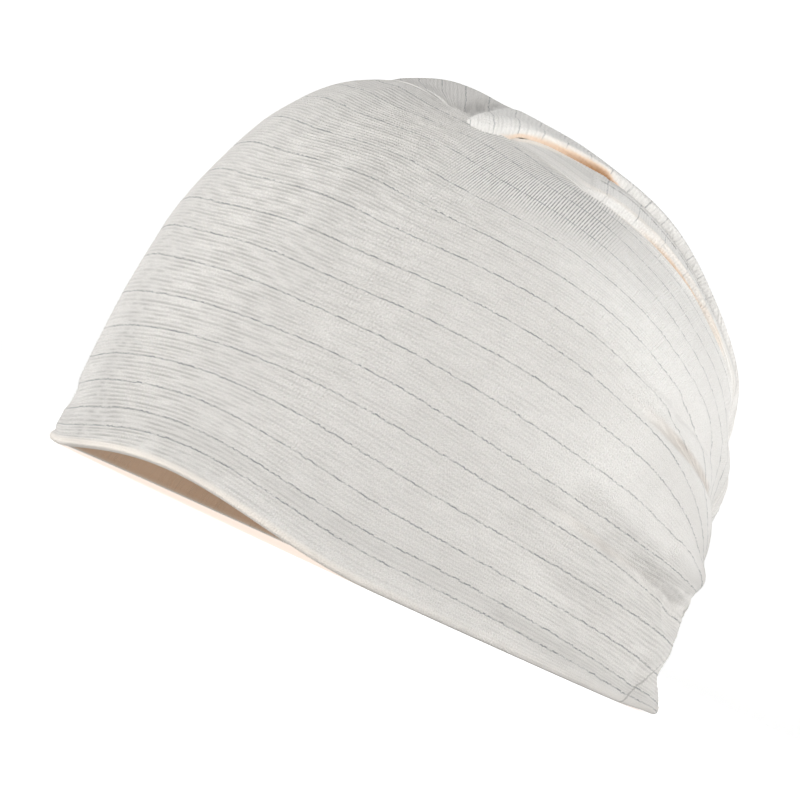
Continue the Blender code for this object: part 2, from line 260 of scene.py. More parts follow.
sideKnit = dict(
    columnsASide=180,
    gathered=0.2,  # the band's front share, where the columns gather
    ribPitch=1.2 * mm,  # one rib of the knit
    ribHeight=0.26 * mm,
    rowsARib=4,
    thinPitch=0.9 * mm,  # ribs closer than this flatten out
    # the fine upright lines: mm between them at which stripe, mm of lean towards the nape a stripe, and
    # how far they flatten the ribs
    walePitch=0.85, waleRow=4.0, waleLean=0.9, waleFlat=0.75,
    # where they show: beside a line in the band (two places along it, one across), then in mm the
    # distance from that line, half length and half width
    walePatch=(0.26, 0.40, -0.8, 15, 31, 17),
    hemRows=10, legRows=6,
    hemStripe=15.5,  # no stripe is drawn below this one
    browSag=0.024,
    ringHeight=0.25,  # where the cloth's way up starts to fan out
    stripes=(
        # stripe, its height on the cloth's way up at the brow, the side, the back and the nape
        (0.5, 1, 1, 1, 1), (1, 0.962, 0.957, 0.955, 0.955),
        (2, 0.893, 0.905, 0.892, 0.9), (3, 0.822, 0.836, 0.838, 0.84),
        (4, 0.734, 0.758, 0.78, 0.785), (5, 0.66, 0.684, 0.72, 0.73),
        (6, 0.592, 0.617, 0.655, 0.665), (7, 0.526, 0.553, 0.583, 0.6),
        (8, 0.467, 0.489, 0.51, 0.53), (9, 0.408, 0.428, 0.424, 0.43),
        (10, 0.333, 0.367, 0.343, 0.315), (11, 0.263, 0.304, 0.274, 0.199),
        (12, 0.201, 0.236, 0.2, 0.147), (13, 0.144, 0.163, 0.135, 0.083),
        (14, 0.088, 0.1, 0.086, 0.03), (15, 0.043, 0.062, 0.052, 0.012),
        (16, 0, 0, 0, 0),
    ),
    turns=(
        # angle from the forehead, shares of those four
        (0, 1, 0, 0, 0), (30, 1, 0, 0, 0), (85, 0, 1, 0, 0), (125, 0, 0, 1, 0), (180, 0, 0, 0, 1),
        (194, 0, 0, -0.2, 1.2),
    ),
    farTurns=(0, 194, 228, 380), farAngles=(0, 194, 132, -20),
    ribShow=(
        # angle from the forehead, how far the ribs stand out
        (0, 1), (16, 0.7), (25, 0.4), (33, 0.7), (45, 1.15), (60, 1.2), (75, 0.8), (105, 0.42),
        (130, 0.4), (150, 0.6), (194, 0.8),
    ),
    edgeGroove=(
        # along the band, depth in mm at its left edge and at its right
        (0, 0, 0), (0.3, 0, 0.3), (0.34, 0.8, 1), (0.43, 1.2, 2.2), (0.455, 3.4, 3),
        (0.51, 4.2, 3.8), (0.565, 3.6, 3.6), (0.6, 1.6, 2.8), (0.66, 1.2, 2.2), (0.7, 2.2, 1.8),
        (0.78, 1.4, 1.2), (0.9, 0.6, 0.6), (1, 0, 0),
    ),
    # the groove beside the band: half width, then its swell's share, place and half width
    grooveWidth=1.3 * mm, grooveSwell=(0.16, 2.6 * mm, 1.6 * mm),
    creases=(
        # half width in mm, then azimuth, climb and depth in mm at each corner of the crease
        (3.2, ((128, 0.217, 0), (138, 0.209, 1.3), (150, 0.19, 1.3), (167, 0.172, 1.5),
               (178, 0.164, 1.9), (190, 0.159, 1.9))),
        (2.6, ((144, 0.227, 0), (158, 0.208, -0.8), (167, 0.199, -1), (188, 0.188, -0.9))),
        (3.6, ((134, 0.424, 0), (142, 0.411, 1.2), (150, 0.398, 1.8), (160, 0.379, 1.8),
               (172, 0.352, 1.6), (182, 0.325, 1.5), (192, 0.292, 0))),
        (2.4, ((138, 0.444, 0), (147, 0.431, -0.9), (164, 0.4, -1), (178, 0.366, -0.5),
               (188, 0.34, 0))),
        (4.5, ((134, 0.12, 0), (144, 0.107, 0.7), (154, 0.094, 0))),
        (5, ((132, 0.038, 0), (140, 0.033, 1), (155, 0.026, 0.7), (162, 0.03, 0))),
        (12, ((34, 0.7, 0.6), (42, 0.77, 0.9))),
        (8, ((192, 0.4, 1), (210, 0.33, 1))),
        (5, ((250, 0.24, 0.6), (270, 0.18, 0.6))),
        (22, ((20, 0.06, -0.8), (26, 0.25, -1.6), (30, 0.42, -0.5))),
    ),
    # the seam behind, a low ridge: its corners and half width
    backSeam=((168, 0, -0.4), (172, 0.033, -0.4), (181, 0.061, -0.4), (190, 0.12, -0.4),
              (194, 0.23, -0.4)),
    seamWidth=1.2 * mm,
    # the hem's stitching: angle and depth in mm, then its height and half width
    stitching=((0, 0.25), (20, 0.6), (50, 0.5), (70, 0.2), (194, 0.2)),
    stitchHeight=3.6 * mm, stitchWidth=0.9 * mm,
    # the cloth lies low under the first tuck: along, depth in mm, then how far
    lowCloth=((0.12, 0), (0.17, 0.5), (0.24, 1), (0.32, 0.8), (0.36, 0)),
    lowReach=6 * mm,
    lumps=((0.35 * mm, 34 * mm, 3), (0.14 * mm, 13 * mm, 5)),
    lumpFade=12 * mm,
    # soft steps, from and to: where the back lies smooth, with flatter ribs
    backTurn=(115, 135), backHeight=(0.33, 0.38), backFlat=0.65,
    # where a crease counts as sunk and takes painted shade and a painted warm tint of bounced light
    sunkDepth=(0.3 * mm, 1.4 * mm), sunkTurn=(130, 145), sunkEnd=(194, 183),
    sunkAbove=(0.24, 0.26), sunkHigh=(0.4, 0.5), sunkWarm=(0.03, 0.04), sunkShade=(0.6, 0.3),
    # painted highlight on the upper back, which starts sooner near the band
    brightTurn=(100, 145), brightEarly=22, brightTop=(0.6, 0.75),
    brightAbove=(0.3, 0.4), brightEnd=(188, 168), brightHigh=(0.55, 0.75),
    # painted warm shade in the slot beside the band, a painted pale glow on its lip, and the hem's cream,
    # which fades behind
    slotDepth=(1.8, 3.4), slotReach=(0.9 * mm, 0.5 * mm), slotWarm=0.6,
    lips=((0.2, 0), (0.3, 0.3), (0.36, 0.8), (0.6, 0.8), (0.7, 0.3)),
    lipPlace=1.9 * mm, lipWidth=0.8 * mm,
    creamTurn=(85, 130), creamLoss=0.75, creamReach=(3.2 * mm, 1.0 * mm),
    # painted warm shade on the hem's turned-in leg, weaker behind, over its first rows
    hemWarm=(0.42, 0.3, 0.7), hemWarmRows=12,
)


def stripeHeight(stripe, turn):
    # where a stripe number lies on the cloth's path at an angle from the forehead
    heights = tableAt(sideKnit["stripes"], stripe)
    height = np.clip((heights * tableAt(sideKnit["turns"], turn)).sum(-1), 0, 1)
    # at the forehead the stripes sag a little
    return height - sideKnit["browSag"] * smooth(40, 20, turn) * smooth(0, 0.12, height) * (1 - height)


def sidePlace(azimuth, edge, height):
    # the path of one column: straight up to the ring, then fanning to the band's edge
    ringHeight = sideKnit["ringHeight"]
    ring = pattern(azimuth, np.full_like(azimuth, crownForm["napeClimb"]))
    low = pattern(azimuth, crownForm["napeClimb"] * np.minimum(height / ringHeight, 1))
    fan = np.maximum((height - ringHeight) / (1 - ringHeight), 0)[..., None]
    return np.where(fan > 0, ring * (1 - fan) + edge * fan, low)


def sideColumns():
    # azimuth, place along the band and edge (-1 left, 1 right) of every column
    count = sideKnit["columnsASide"]
    nape, front = (math.degrees(math.atan2(x, -y)) % 360
                   for x, y in (crownForm["bandNape"], crownForm["bandFront"]))
    share = np.arange(2 * count + 1) / count
    azimuth = np.where(share <= 1, front + (nape - front) * share,
                       nape + (front + 360 - nape) * (share - 1))
    along = np.minimum(share, 2 - share)
    # gathered at the band's tip, so that the stripes run round it without a kink
    start = sideKnit["gathered"]
    near = np.minimum(along / start, 1)
    along = np.where(along < start, start * (2 * near**2 - near**3), along)
    side = np.where(share <= 1, -1.0, 1.0)
    return azimuth, along, side


def stripeRows(azimuth, edge):
    # stripe number and rib count of every row from the rim up, as counted at one side
    knit = sideKnit
    turn, samples = 80.0, 30
    here = np.argmin(abs(azimuth - turn))
    levels = [row[0] for row in knit["stripes"]][::-1]
    stripes, ribs = [levels[0]], [0.0]
    for low, high in zip(levels, levels[1:]):
        height = stripeHeight(np.linspace(low, high, samples), np.full(samples, turn))
        path = crownPoint(sidePlace(np.full(samples, azimuth[here]), edge[here], height))
        length = lengths(np.diff(path, axis=0)).sum()
        count = max(round(length / knit["ribPitch"]), 2)
        steps = np.arange(1, count * knit["rowsARib"] + 1) / (count * knit["rowsARib"])
        stripes.extend(low + (high - low) * steps)
        ribs.extend(ribs[-1] + count * steps)
    return np.array(stripes), np.array(ribs)


def turnOf(azimuth):
    # the angle from the forehead, as far as the seam behind and back again on the other side
    return np.abs(np.interp(azimuth, sideKnit["farTurns"], sideKnit["farAngles"]))


def waleWidths(points, base):
    # counts along the base row, and each count goes on squarely across the rows
    rows, columns = points.shape[:2]
    width = np.zeros((rows, columns))
    steps = lengths(np.diff(points[base], axis=0))
    width[base, 1:] = np.cumsum(steps)
    for direction in (1, -1):
        row = base
        while 0 <= row + direction < rows:
            tangent = np.gradient(points[row], axis=0)
            length = np.maximum(lengths(tangent), 1e-7)
            rate = np.gradient(width[row]) / length
            drift = ((points[row + direction] - points[row]) * tangent).sum(-1) / length
            width[row + direction] = width[row] + drift * rate
            row += direction
    return width


def grooveSection(away):
    # across the groove beside the band: a dip with a low swell next to it
    share, place, width = sideKnit["grooveSwell"]
    return hump(away, sideKnit["grooveWidth"]) - share * hump(away - place, width)


def waleMask(point):
    # where the stretched cloth shows its upright lines: below the tucks, on the left
    first, second, across, offBand, reach, spread = sideKnit["walePatch"]
    centre = crownPoint(bandPlace(first, -1.0))
    run = crownPoint(bandPlace(second, across)) - centre
    run /= np.linalg.norm(run)
    offset = (point - centre) / mm
    lengthways = offset @ run
    away = lengths(offset - lengthways[..., None] * run) - offBand
    return smooth(reach, 0.55 * reach, np.abs(lengthways)) * smooth(spread, 0.3 * spread, np.abs(away))


def turnedHem(points, climbed, azimuth):
    # the hem's round edge: the lowest rows curl in, then the cloth turns up inside
    knit, form = sideKnit, crownForm
    level = outward(pattern(azimuth, np.zeros(len(azimuth))))
    level[:, 2] = 0
    level = unit(level)
    radius = form["hemRoll"] / 2
    above = np.clip(1 - climbed / radius, 0, 1)
    points = points - level * (radius * (1 - np.sqrt(1 - above ** 2)))[..., None]
    foot = points[0] + level * radius
    curl = np.linspace(0, np.pi / 2, knit["hemRows"] + 1)[1:, None, None]
    inner = foot - level * radius * (1 + np.sin(curl)) + np.array([0, 0, radius]) * (1 - np.cos(curl))
    top = pattern(azimuth, np.full(len(azimuth), climbAt(form["hemTurn"])))
    leg = crownPoint(top) - level * (pressedBy(form["folds"], top) + form["hemRoll"])[:, None]
    rise = np.linspace(0, 1, knit["legRows"] + 1)[1:, None, None]
    hem = np.concatenate([inner, inner[-1] * (1 - rise) + leg * rise])[::-1]
    return np.concatenate([hem, points]), len(hem)


def buildSide():
    knit, form = sideKnit, crownForm
    azimuth, along, side = sideColumns()
    left = side < 0
    edge = bandPlace(along, side)
    stripes, ribs = stripeRows(azimuth, edge)
    shape = len(stripes), len(azimuth)
    turn = turnOf(azimuth)
    stripe = np.broadcast_to(stripes[:, None], shape)
    height = stripeHeight(stripe, np.broadcast_to(turn, shape))
    place = sidePlace(np.broadcast_to(azimuth, shape), edge, height)
    smoothPoint, normal = crownPoint(place), outward(place)
    toEdge = lengths(smoothPoint - crownPoint(edge))
    fromRim = lengths(smoothPoint - smoothPoint[:1])

    # how far the folds, creases, seam and grooves press the cloth in
    creased = creasedBy(knit["creases"], place)
    press = pressedBy(form["folds"], place) + creased
    fromSeam, ridge = nearestOn(knit["backSeam"], smoothPoint)
    press += ridge * mm * bell(fromSeam / knit["seamWidth"])
    groove = tableAt(knit["edgeGroove"], along)
    depth = np.where(left, groove[:, 0], groove[:, 1]) * mm
    press += depth * grooveSection(toEdge)
    stitched = column(knit["stitching"], turn) * mm
    press += stitched * hump(fromRim - knit["stitchHeight"], knit["stitchWidth"])
    low = np.where(left, column(knit["lowCloth"], along), 0)
    press += low * mm * hump(toEdge, knit["lowReach"])

    # ribs, flatter where the cloth is gathered, stretched smooth or worn behind
    pitch = lengths(np.gradient(smoothPoint, axis=0)) * knit["rowsARib"]
    show = column(knit["ribShow"], turn) * np.minimum(pitch / knit["thinPitch"], 1) ** 2
    patch = waleMask(smoothPoint) * smooth(0, 0.1, along) * left
    smoothBack = knit["backFlat"] * smooth(*knit["backTurn"], turn) * smooth(*knit["backHeight"], height)
    show = show * (1 - knit["waleFlat"] * patch) * (1 - smoothBack)
    crest = (0.5 - 0.5 * np.cos(2 * np.pi * ribs))[:, None]
    rib = knit["ribHeight"] * crest * show
    lump = unevenness(smoothPoint, knit["lumps"]) * smooth(0, knit["lumpFade"], fromRim)
    points = smoothPoint + normal * (rib + lump - press)[..., None]
    points, hemCount = turnedHem(points, smoothPoint[..., 2] - smoothPoint[:1, :, 2], azimuth)

    # marks for the knit's pattern: widths round the head, stripe numbers upwards
    width = waleWidths(smoothPoint, np.argmin(abs(stripes - knit["waleRow"]))) / mm
    marks = np.stack([width + knit["waleLean"] * stripes[:, None], stripe], -1)
    hemMarks = np.repeat(marks[:1], hemCount, 0)
    hemMarks[..., 1] = knit["hemStripe"]

    # tone: painted warm shade and glow, upright lines, pale lips (a painted glow) and the hem's cream, signed
    # distance from the seam in cm
    slot = smooth(*knit["slotDepth"], depth / mm) * left
    warm = knit["slotWarm"] * slot * smooth(*knit["slotReach"], toEdge)
    sunk = smooth(*knit["sunkDepth"], creased) * smooth(*knit["sunkTurn"], turn)
    sunk = sunk * smooth(*knit["sunkEnd"], azimuth)
    high = smooth(*knit["sunkHigh"], height)
    least, more = knit["sunkWarm"]
    warm = np.maximum(warm, (least + more * high) * sunk * smooth(*knit["sunkAbove"], height))
    creamy = 1 - knit["creamLoss"] * smooth(*knit["creamTurn"], turn)
    pale = np.where(left, column(knit["lips"], along), 0) * hump(toEdge - knit["lipPlace"], knit["lipWidth"])
    pale = np.maximum(pale, creamy * smooth(*knit["creamReach"], fromRim))
    corners = np.array(knit["backSeam"])
    seamAzimuth = np.interp(1 - lengths(place), corners[:, 1], corners[:, 0])
    fromSeam = np.clip(fromSeam / mm / 10, 0, 1) * np.where(azimuth < seamAzimuth, -1, 1)
    tone = np.stack([warm, patch, pale, fromSeam], -1)
    hemTone = np.zeros((hemCount,) + tone.shape[1:])
    hemTone[..., 2], hemTone[..., 3] = creamy, 1
    # painted warm shade on the hem's turned-in leg
    most, least, more = knit["hemWarm"]
    hemTone[:knit["hemWarmRows"], :, 0] = most * (least + more * creamy)

    # detail: length of a stripe's step in cm, painted shade in the rib grooves and sunk creases, painted
    # highlight
    stripeStep = pitch / np.gradient(stripes)[:, None] / knit["rowsARib"] / -10
    least, more = knit["sunkShade"]
    shade = np.maximum((1 - crest) * show, (least + more * high) * sunk)
    # painted highlight: the upper back made lighter where the light falls on it
    bright = smooth(*knit["brightTurn"], turn + knit["brightEarly"] * smooth(*knit["brightTop"], height))
    bright = bright * smooth(*knit["brightAbove"], height) * smooth(*knit["brightEnd"], turn)
    bright = bright * (0.5 + 0.5 * smooth(*knit["brightHigh"], height))
    detail = np.stack([stripeStep / mm, shade, bright], -1)
    hemDetail = np.repeat(detail[:1], hemCount, 0)
    hemDetail[..., 1:] = 0
    pairs = ((hemMarks, marks), (hemTone, tone), (hemDetail, detail))
    return [points] + [np.concatenate(pair) for pair in pairs]


# The crown's band: two strips with a tuck between them

crownBand = dict(
    # step of the crossing stripes along the band, place of stripe 0, first and last stripe drawn
    upper=dict(step=0.0345, first=0.158, ribsAStripe=6, columns=62, drawn=(-9.5, 12.5), lipShow=0.7),
    lower=dict(step=0.0575, first=0.345, ribsAStripe=12, columns=34, drawn=(-0.5, 4.5), lipShow=0.9),
    reach=(0.001, 0.999),  # the strips' ends along the band
    rowsARib=4, ribHeight=0.09 * mm,
    packing=0.8,  # how much closer the columns lie at the edges
    lumps=((0.3 * mm, 21 * mm, 8),), lumpFade=6 * mm,
    stripeSkew=0.010, skewReach=12 * mm,
    tuckedUnder=0.9 * mm,  # the edges pass this far under the side cloth
    tuckLine=(
        # along, where the tuck lies between the left edge (-1) and the right (1)
        (0, -0.85), (0.08, -0.9), (0.115, -1.12), (0.145, -1.18), (0.175, -1.06), (0.2, -0.9),
        (0.23, -0.76), (0.27, -0.66), (0.323, -0.54), (0.35, -0.5), (0.43, -0.42), (0.5, -0.36),
        (0.6, -0.3), (1, -0.3),
    ),
    overhang=(-0.85, -0.95),  # where the upper strip hangs over the side cloth
    lowerEdge=-0.86,  # the lower strip ends here at the latest
    tuck=(
        # along, depth, half width, raise of the upper strip, drop of the lower, all in mm
        (0, 0, 0.6, 0, 0), (0.1, 0, 0.6, 0.3, 0), (0.13, 0, 0.6, 2.3, 0),
        (0.17, 0.2, 0.5, 3, 0.3), (0.205, 0.6, 0.45, 2.6, 0.3), (0.25, 1.2, 0.5, 2.1, 0.3),
        (0.3, 2.4, 0.75, 2.1, 0.3), (0.33, 3, 0.9, 2.2, 0.3), (0.352, 1.2, 0.3, 2.3, 0.3),
        (0.43, 1, 0.6, 2.4, 0.3), (0.5, 0.6, 0.8, 2.2, 0.2), (0.62, 0, 0.8, 1.5, 0),
        (0.75, 0, 0.8, 0.3, 0), (0.85, 0, 0.8, -0.6, 0), (1, 0, 0.8, 0, 0),
    ),
    # along the band: the second fold's height and the first one's lip in mm, then shares
    lowerNose=((0, 0), (0.31, 0), (0.345, 0.7), (0.385, 1.3), (0.43, 1.2), (0.5, 0.9),
               (0.6, 0.5), (0.72, 0)),
    lowerLip=((0.15, 0), (0.2, 2.5), (0.25, 4), (0.3, 3), (0.35, 1.5), (0.37, 0)),
    # shares of painted warm shade in the first slot and along the left edge, and of a painted pale glow on
    # the edge's lips
    slotWarmth=((0.175, 0), (0.2, 0.3), (0.22, 0.3), (0.25, 0.4), (0.29, 0.75), (0.325, 1),
                (0.35, 0.85), (0.362, 0)),
    edgeWarmth=((0.42, 0), (0.45, 0.15), (0.475, 0.5), (0.51, 1), (0.555, 0.9), (0.575, 0.2),
                (0.64, 0.14), (0.67, 0)),
    edgeLips=((0.3, 0), (0.34, 1), (0.6, 1), (0.7, 0.4), (0.8, 0)),
)


def packed(count):
    # shares from 0 to 1, closer together at both ends
    share = np.linspace(0, 1, count)
    return share - crownBand["packing"] * np.sin(2 * np.pi * share) / (2 * np.pi)


def buildBand(upper):
    band, knit = crownBand, sideKnit
    strip = band["upper" if upper else "lower"]
    step = strip["step"]
    start, end = band["reach"]
    rows = round((end - start) / step * strip["ribsAStripe"] * band["rowsARib"])
    along = np.linspace(start, end, rows)
    line = column(band["tuckLine"], along)
    overhang = smooth(*band["overhang"], line)[:, None]
    share = packed(strip["columns"])
    if upper:
        across = line[:, None] + (1 - line)[:, None] * share
    else:
        line = np.maximum(line, band["lowerEdge"])
        across = -1 + (line + 1)[:, None] * share
    here = np.broadcast_to(along[:, None], across.shape)
    place = bandPlace(here, across)
    smoothPoint, normal = crownPoint(place), outward(place)
    toTuck, toLeft, toRight = (lengths(smoothPoint - crownPoint(bandPlace(along, border))[:, None])
                               for border in (line, -1, 1))

    tuckDepth, halfWidth, raised, dropped = np.moveaxis(tableAt(band["tuck"], here), -1, 0) * mm
    tuckWidth = np.maximum(halfWidth, 0.1 * mm)
    press = pressedBy(crownForm["folds"], place) + creasedBy(knit["creases"], place)
    press += tuckDepth * hump(toTuck, tuckWidth)
    groove = tableAt(knit["edgeGroove"], along) * mm
    press += groove[:, :1] * grooveSection(toLeft)
    press += groove[:, 1:] * grooveSection(toRight)
    if upper:
        # the upper strip starts in a round nose, behind a shallow valley
        onset = here - (0.120 + 0.05 * np.clip((across + 1.1) / 0.9, 0, 1.6))
        full = smooth(0.24, 0.19, here)
        roll = (1 - hump(toTuck, 0.9 * mm)) * (1 - 0.5 * full) + 0.5 * full * smooth(0, 5 * mm, toTuck)
        roll = roll * (0.2 + 0.8 * hump(np.maximum(toTuck - (2 + 3 * full) * mm, 0), 7 * mm))
        roll = roll * smooth(0, 9 * mm, toRight)
        press -= raised * roll * smooth(0, 0.022, onset)
        press += 1.3 * mm * overhang * hump(toTuck, 0.7 * mm)
        press -= 2.3 * mm * hump(here - 0.10, 0.08) * smooth(-0.5, 0.2, across) * smooth(0, 8 * mm, toRight)
        valley = hump(onset + 0.010, 0.016) * smooth(0.35, -0.3, across)
        press += 1.8 * mm * valley
        # painted shade in the valley before the nose, and a painted highlight on the nose and the upper strip
        shade, lip = 0.9 * valley, 0
        bright = smooth(0.0, 0.012, onset) * (1 - 0.8 * smooth(0.6, 0.85, here))
        bright = bright * (1 - 0.6 * smooth(-0.1, 0.5, across))
    else:
        # a lip along the tuck, then a second, lower fold end
        press += dropped * (hump(toTuck, 7 * mm) - hump(toTuck, 0.8 * mm)) + 0.7 * mm * overhang
        press -= 0.5 * mm * smooth(1.2, 3.0, tuckDepth / mm) * hump(toTuck - 2.6 * mm, 1.2 * mm)
        nose = column(band["lowerNose"], here) * mm
        press -= nose * (1 - hump(toLeft, 1.3 * mm)) * (1 - 0.8 * hump(toTuck, 2.2 * mm))
        low = column(knit["lowCloth"], here)
        press += low * mm * hump(toLeft, knit["lowReach"])
        # a painted pale glow along the lip beside the tuck
        lipWidth = column(band["lowerLip"], here) * mm
        lip = 0.9 * smooth(1, 0.5, toTuck / np.maximum(lipWidth, 0.1 * mm)) * (lipWidth > 0.1 * mm)
        # painted shade beside the first tuck and beyond the line that parts the two folds; that line itself
        # is a grey stripe drawn in the same channel
        width = toLeft + toTuck
        share = toLeft / np.maximum(width, 1e-6)
        parted = hump((share - 0.58) * width, 0.35 * mm) * smooth(0.31, 0.35, here)
        beyond = smooth(0.6, 0.75, share) * smooth(0.33, 0.37, here)
        shade = np.maximum(0.4 * low * hump(toLeft - 5 * mm, 5 * mm), 1.8 * parted * smooth(0.72, 0.6, here))
        shade = np.maximum(shade, 0.45 * beyond * smooth(0.7, 0.5, here))
        # painted highlight on the second fold's lobe
        bright = smooth(0.31, 0.35, here) * smooth(0.75, 0.6, share) * (1 - 0.8 * smooth(0.6, 0.85, here))

    # crossing stripes, drawn back a little near the tuck, with fine ribs between
    skew = band["stripeSkew"] * smooth(band["skewReach"], 0, toTuck if upper else toLeft)
    stripe = (here - skew - strip["first"]) / step
    crest = 0.5 - 0.5 * np.cos(2 * np.pi * (stripe * strip["ribsAStripe"]))
    press -= band["ribHeight"] * crest
    lump = unevenness(smoothPoint, band["lumps"])
    fade = smooth(0, band["lumpFade"], np.minimum(toLeft, toRight))
    points = smoothPoint + normal * (lump * fade - press)[..., None]

    # painted warm shade in the slots and along the left edge, and a painted pale glow on the lips beside them
    inSlot = column(band["slotWarmth"], here) * smooth(1.6, 0.9, toTuck / tuckWidth)
    reach = 1.32 * mm + 1.6 * mm * hump(here - 0.615, 0.03)
    warm = np.maximum(inSlot, column(band["edgeWarmth"], here) * smooth(reach * 1.2, reach * 0.75, toLeft))
    pale = smooth(0.5, 1.5, tuckDepth / mm) * hump(toTuck - halfWidth * 1.7, 0.6 * mm)
    pale = pale * smooth(0.37, 0.34, here)
    edgeLips = column(band["edgeLips"], along)[:, None]
    pale = np.maximum(pale, 0.6 * edgeLips * hump(toLeft - 2.6 * mm, 0.8 * mm)) * strip["lipShow"]
    pale = np.maximum(pale, lip)
    stepLength = lengths(np.gradient(smoothPoint, axis=0))
    stripeStep = np.clip(stepLength * step / np.gradient(along)[:, None] / mm / 10, 0.2, 2)
    # painted shade in the rib grooves, less where the warm shade is painted
    shade = np.maximum(shade, 0.35 * (1 - crest) * (1 - warm))
    marks = np.stack([(toRight if upper else toLeft) / mm, np.clip(stripe, *strip["drawn"])], -1)
    tone = np.stack([warm, 0 * warm, pale], -1)
    detail = np.stack([stripeStep, shade, bright], -1)

    # one more column under the side cloth
    last, beside = (-1, -2) if upper else (0, 1)
    under = band["tuckedUnder"]
    flap = points[:, last] + unit(points[:, last] - points[:, beside]) * under * 0.6
    flap = flap - normal[:, last] * under
    ends = (flap, marks[:, last], tone[:, last], detail[:, last])
    return [np.concatenate([grid, end[:, None]] if upper else [end[:, None], grid], 1)
            for grid, end in zip((points, marks, tone, detail), ends)]


# The lining: plain jersey, a little behind the outer cloth

innerCloth = dict(
    columns=200, rows=90, rowPacking=1.15,
    roomShare=1.2, roomWidth=2.2,  # its folds are deeper and wider than the outer ones
    hollowFlat=0.05, hollowSlope=0.16, seamClimb=0.08,
    # shallow upright folds, which sway and twist a little and fade at both ends
    folds=17, foldHeight=0.55 * mm, foldSway=3, foldTwist=5, foldStart=0.15, foldEnd=(0.95, 0.5),
)


def bandHollow(place):
    # the room that the lining leaves under the band's tucks
    cloth, form = innerCloth, crownForm
    front, run, aside = bandFrame()
    offset = place - front
    along = (offset @ run) / (run @ run)
    left, right, depth = np.moveaxis(tableAt(form["band"], along), -1, 0)
    away = offset - np.clip(along, 0, 1)[..., None] * run
    reach = np.where(away @ aside > 0, left, right)
    room = np.maximum(depth, 0) * cloth["roomShare"] * form["tuckDepth"]
    outside = np.maximum(lengths(away) - reach - cloth["hollowFlat"], 0)
    return room * bell(outside / cloth["hollowSlope"])


def liningPoint(place):
    cloth, form = innerCloth, crownForm
    behind = form["cloth"] + form["layerGap"]
    seam = climbAt(form["hemTurn"] + form["seamGap"])
    climb = 1 - lengths(place)
    nearness = bell((climb - seam) / cloth["seamClimb"])
    inset = behind + max(form["hemRoll"] - form["cloth"] - behind, 0) * nearness
    inset += cloth["roomShare"] * pressedBy(form["folds"], place, cloth["roomWidth"], False)
    inset += bandHollow(place)
    normal = outward(place)
    normal[..., 2] *= 1 - nearness
    azimuth = np.arctan2(place[..., 0], -place[..., 1])
    phase = cloth["folds"] * azimuth + cloth["foldSway"] * np.sin(azimuth) + cloth["foldTwist"] * climb
    wave = cloth["foldHeight"] * (0.5 + 0.5 * np.sin(phase))
    inset += wave * smooth(seam, seam + cloth["foldStart"], climb) * smooth(*cloth["foldEnd"], climb)
    return crownPoint(place) - unit(normal) * inset[..., None]


def buildLining():
    cloth, form = innerCloth, crownForm
    seam = climbAt(form["hemTurn"] + form["seamGap"])
    climb = seam + (1 - seam) * np.linspace(0, 1, cloth["rows"] + 1)[:-1] ** cloth["rowPacking"]
    azimuth = 360 * np.arange(cloth["columns"]) / cloth["columns"]
    rows = liningPoint(pattern(*np.meshgrid(azimuth, climb)))
    return rows, liningPoint(np.zeros((1, 2)))[0]


# Meshes

def placed(name, data):
    # a new object in the scene
    made = bpy.data.objects.new(name, data)
    bpy.context.scene.collection.objects.link(made)
    return made


def meshFrom(name, vertices, faces):
    mesh = bpy.data.meshes.new(name)
    mesh.from_pydata(vertices, [], faces)
    mesh.shade_smooth()
    return placed(name, mesh)


def fill(target, key, values, kind=np.float32):
    target.foreach_set(key, values.reshape(-1).astype(kind))


def clothMesh(name, points, marks, tone, detail, normals, winding=1):
    # winding is -1 where the grid's columns run the other way
    rows, columns = points.shape[:2]
    index = np.arange(rows * columns).reshape(rows, columns)
    quads = np.stack([index[:-1, :-1], index[:-1, 1:], index[1:, 1:], index[1:, :-1]], -1)
    quads = quads.reshape(-1, 4)[:, ::winding]
    mesh = bpy.data.meshes.new(name)
    mesh.vertices.add(rows * columns)
    fill(mesh.vertices, "co", points)
    mesh.loops.add(quads.size)
    fill(mesh.loops, "vertex_index", quads, np.int32)
    mesh.polygons.add(len(quads))
    fill(mesh.polygons, "loop_start", np.arange(0, quads.size, 4), np.int32)
    mesh.update()
    fill(mesh.uv_layers.new(name="marks").uv, "vector", marks.reshape(-1, 2)[quads.reshape(-1)])
    for label, values in (("tone", tone), ("detail", detail)):
        values = np.concatenate([values, np.ones(values.shape[:2] + (1,))], -1)[..., :4]
        fill(mesh.color_attributes.new(label, "FLOAT_COLOR", "POINT").data, "color", values)
    mesh.shade_smooth()
    mesh.validate()
    mesh.normals_split_custom_set_from_vertices(normals.reshape(-1, 3))
    return placed(name, mesh)


def liningMesh(rows, top):
    count, columns = rows.shape[:2]
    vertices = [tuple(p) for p in rows.reshape(-1, 3)] + [tuple(top)]
    ring = [(spot, (spot + 1) % columns) for spot in range(columns)]
    last = (count - 1) * columns
    faces = [(row + spot, row + beside, row + columns + beside, row + columns + spot)
             for row in range(0, last, columns) for spot, beside in ring]
    faces += [(last + spot, last + beside, len(vertices) - 1) for spot, beside in ring]
    made = meshFrom("inner_jersey", vertices, faces)
    wall = made.modifiers.new("cloth", "SOLIDIFY")
    wall.thickness = crownForm["liningCloth"]
    wall.offset = -1
    return made


# Materials

def linear(text):
    # an sRGB hex colour as linear values
    parts = [int(text[i:i + 2], 16) / 255 for i in (1, 3, 5)]
    return tuple(p / 12.92 if p <= 0.04045 else ((p + 0.055) / 1.055) ** 2.4 for p in parts) + (1,)


def wire(tree, made, inputs):
    # sets a node's inputs by number or name, or links them to another node's output
    for key, value in inputs.items():
        if isinstance(value, bpy.types.NodeSocket):
            tree.links.new(value, made.inputs[key])
        else:
            made.inputs[key].default_value = value


